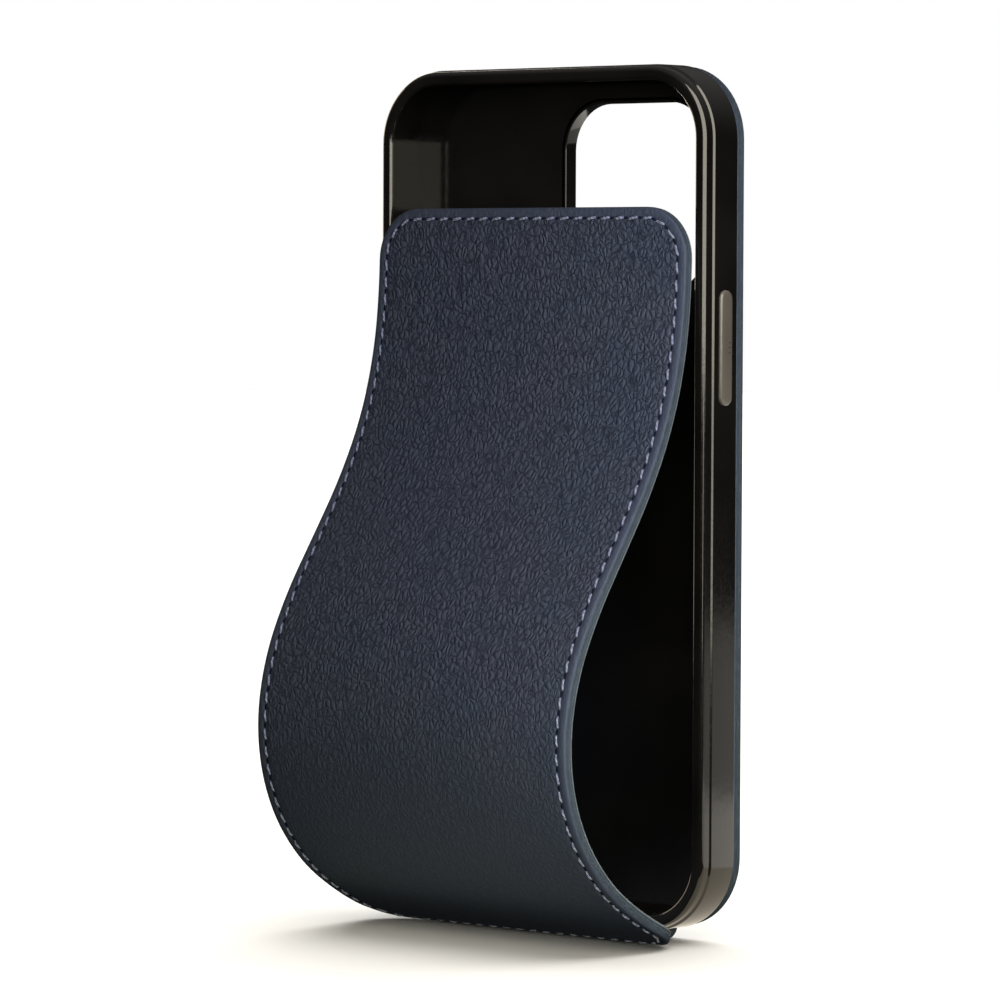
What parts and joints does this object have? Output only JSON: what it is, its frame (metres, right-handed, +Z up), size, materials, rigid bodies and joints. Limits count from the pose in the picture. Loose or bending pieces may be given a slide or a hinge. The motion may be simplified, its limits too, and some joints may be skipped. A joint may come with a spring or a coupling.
{
  "type": "flip phone case",
  "caption": "Bottom-hinged leather flip case: a smoke-grey moulded tray with soft buttons, a leather back panel and a lined, stitched flap that folds on a tongue under the tray.",
  "frame": {"origin": "middle of the tongue's underside, on the surface the case stands on", "axes": "+Z up along the tray's height, +X to the right seen from the flap's side, -Y towards the flap"},
  "size_m": [0.0842, 0.0505, 0.1682],
  "materials": {
    "smoke_tpu": "glossy translucent smoke-grey thermoplastic polyurethane",
    "navy_leather": "pebbled navy cow leather, semi-matt",
    "slate_lining": "smooth slate-grey split leather lining",
    "lavender_thread": "twisted polyester sewing thread",
    "clear_adhesive": "double-sided adhesive film"
  },
  "bodies": {
    "tray": {"tpu_tray": "smoke_tpu", "adhesive_sheet": "clear_adhesive", "back_lining": "slate_lining", "back_leather": "navy_leather", "back_seam": "lavender_thread"},
    "side_button": {"side_button": "smoke_tpu"},
    "volume_up_button": {"volume_up_button": "smoke_tpu"},
    "volume_down_button": {"volume_down_button": "smoke_tpu"},
    "tongue": {"tongue_lining": "slate_lining", "tongue_leather": "navy_leather"},
    "flap_01": {"flap_lining_01": "slate_lining", "flap_leather_01": "navy_leather", "flap_seam_01": "lavender_thread"},
    "flap_02": {"flap_lining_02": "slate_lining", "flap_leather_02": "navy_leather", "flap_seam_02": "lavender_thread"},
    "flap_03": {"flap_lining_03": "slate_lining", "flap_leather_03": "navy_leather", "flap_seam_03": "lavender_thread"},
    "flap_04": {"flap_lining_04": "slate_lining", "flap_leather_04": "navy_leather", "flap_seam_04": "lavender_thread"},
    "flap_05": {"flap_lining_05": "slate_lining", "flap_leather_05": "navy_leather", "flap_seam_05": "lavender_thread"},
    "flap_06": {"flap_lining_06": "slate_lining", "flap_leather_06": "navy_leather", "flap_seam_06": "lavender_thread"},
    "flap_07": {"flap_lining_07": "slate_lining", "flap_leather_07": "navy_leather", "flap_seam_07": "lavender_thread"},
    "flap_08": {"flap_lining_08": "slate_lining", "flap_leather_08": "navy_leather", "flap_seam_08": "lavender_thread"},
    "flap_09": {"flap_lining_09": "slate_lining", "flap_leather_09": "navy_leather", "flap_seam_09": "lavender_thread"},
    "flap_10": {"flap_lining_10": "slate_lining", "flap_leather_10": "navy_leather", "flap_seam_10": "lavender_thread"},
    "flap_11": {"flap_lining_11": "slate_lining", "flap_leather_11": "navy_leather", "flap_seam_11": "lavender_thread"},
    "flap_12": {"flap_lining_12": "slate_lining", "flap_leather_12": "navy_leather", "flap_seam_12": "lavender_thread"}
  },
  "joints": [
    {"name": "tongue_fold", "type": "hinge", "parent": "tray", "child": "tongue", "pos_m": [0, 0.00617, 0.0011], "axis": [1, 0, 0], "range_deg": [0, 180]},
    {"name": "flap_close", "type": "hinge", "parent": "tongue", "child": "flap_01", "pos_m": [0, -0.00617, 0.0011], "axis": [-1, 0, 0], "range_deg": [0, 66.14]},
    {"name": "flap_bend_01", "type": "hinge", "parent": "flap_01", "child": "flap_02", "pos_m": [0, -0.01882, 0.00669], "axis": [-1, 0, 0], "range_deg": [-10.71, 0.05]},
    {"name": "flap_bend_02", "type": "hinge", "parent": "flap_02", "child": "flap_03", "pos_m": [0, -0.03025, 0.01449], "axis": [-1, 0, 0], "range_deg": [-19.15, 0.05]},
    {"name": "flap_bend_03", "type": "hinge", "parent": "flap_03", "child": "flap_04", "pos_m": [0, -0.03856, 0.02554], "axis": [-1, 0, 0], "range_deg": [-23.63, 0.05]},
    {"name": "flap_bend_04", "type": "hinge", "parent": "flap_04", "child": "flap_05", "pos_m": [0, -0.04187, 0.03896], "axis": [-1, 0, 0], "range_deg": [-23.21, 0.05]},
    {"name": "flap_bend_05", "type": "hinge", "parent": "flap_05", "child": "flap_06", "pos_m": [0, -0.03975, 0.05263], "axis": [-1, 0, 0], "range_deg": [-17.98, 0.05]},
    {"name": "flap_bend_06", "type": "hinge", "parent": "flap_06", "child": "flap_07", "pos_m": [0, -0.03359, 0.06501], "axis": [-1, 0, 0], "range_deg": [-9.03, 0.05]},
    {"name": "flap_bend_07", "type": "hinge", "parent": "flap_07", "child": "flap_08", "pos_m": [0, -0.02562, 0.07631], "axis": [-1, 0, 0], "range_deg": [-0.05, 1.02]},
    {"name": "flap_bend_08", "type": "hinge", "parent": "flap_08", "child": "flap_09", "pos_m": [0, -0.01783, 0.08774], "axis": [-1, 0, 0], "range_deg": [-0.05, 7.63]},
    {"name": "flap_bend_09", "type": "hinge", "parent": "flap_09", "child": "flap_10", "pos_m": [0, -0.01158, 0.10008], "axis": [-1, 0, 0], "range_deg": [-0.05, 11.13]},
    {"name": "flap_bend_10", "type": "hinge", "parent": "flap_10", "child": "flap_11", "pos_m": [0, -0.00778, 0.11337], "axis": [-1, 0, 0], "range_deg": [-0.05, 10.37]},
    {"name": "flap_bend_11", "type": "hinge", "parent": "flap_11", "child": "flap_12", "pos_m": [0, -0.00636, 0.12713], "axis": [-1, 0, 0], "range_deg": [-0.05, 5.66]},
    {"name": "side_button_press", "type": "slide", "parent": "tray", "child": "side_button", "axis": [-1, 0, 0], "range_m": [0, 0.0004], "stiffness_N_per_m": 800, "springref_m": -0.0003},
    {"name": "volume_up_button_press", "type": "slide", "parent": "tray", "child": "volume_up_button", "axis": [1, 0, 0], "range_m": [0, 0.0004], "stiffness_N_per_m": 800, "springref_m": -0.0003},
    {"name": "volume_down_button_press", "type": "slide", "parent": "tray", "child": "volume_down_button", "axis": [1, 0, 0], "range_m": [0, 0.0004], "stiffness_N_per_m": 800, "springref_m": -0.0003}
  ],
  "couplings": [
    {"joint": "flap_bend_01", "follows": "flap_close", "ratio": -0.15795},
    {"joint": "flap_bend_02", "follows": "flap_close", "ratio": -0.2831},
    {"joint": "flap_bend_03", "follows": "flap_close", "ratio": -0.34946},
    {"joint": "flap_bend_04", "follows": "flap_close", "ratio": -0.34325},
    {"joint": "flap_bend_05", "follows": "flap_close", "ratio": -0.26576},
    {"joint": "flap_bend_06", "follows": "flap_close", "ratio": -0.13307},
    {"joint": "flap_bend_07", "follows": "flap_close", "ratio": 0.014355},
    {"joint": "flap_bend_08", "follows": "flap_close", "ratio": 0.11244},
    {"joint": "flap_bend_09", "follows": "flap_close", "ratio": 0.16418},
    {"joint": "flap_bend_10", "follows": "flap_close", "ratio": 0.15296},
    {"joint": "flap_bend_11", "follows": "flap_close", "ratio": 0.083075}
  ]
}
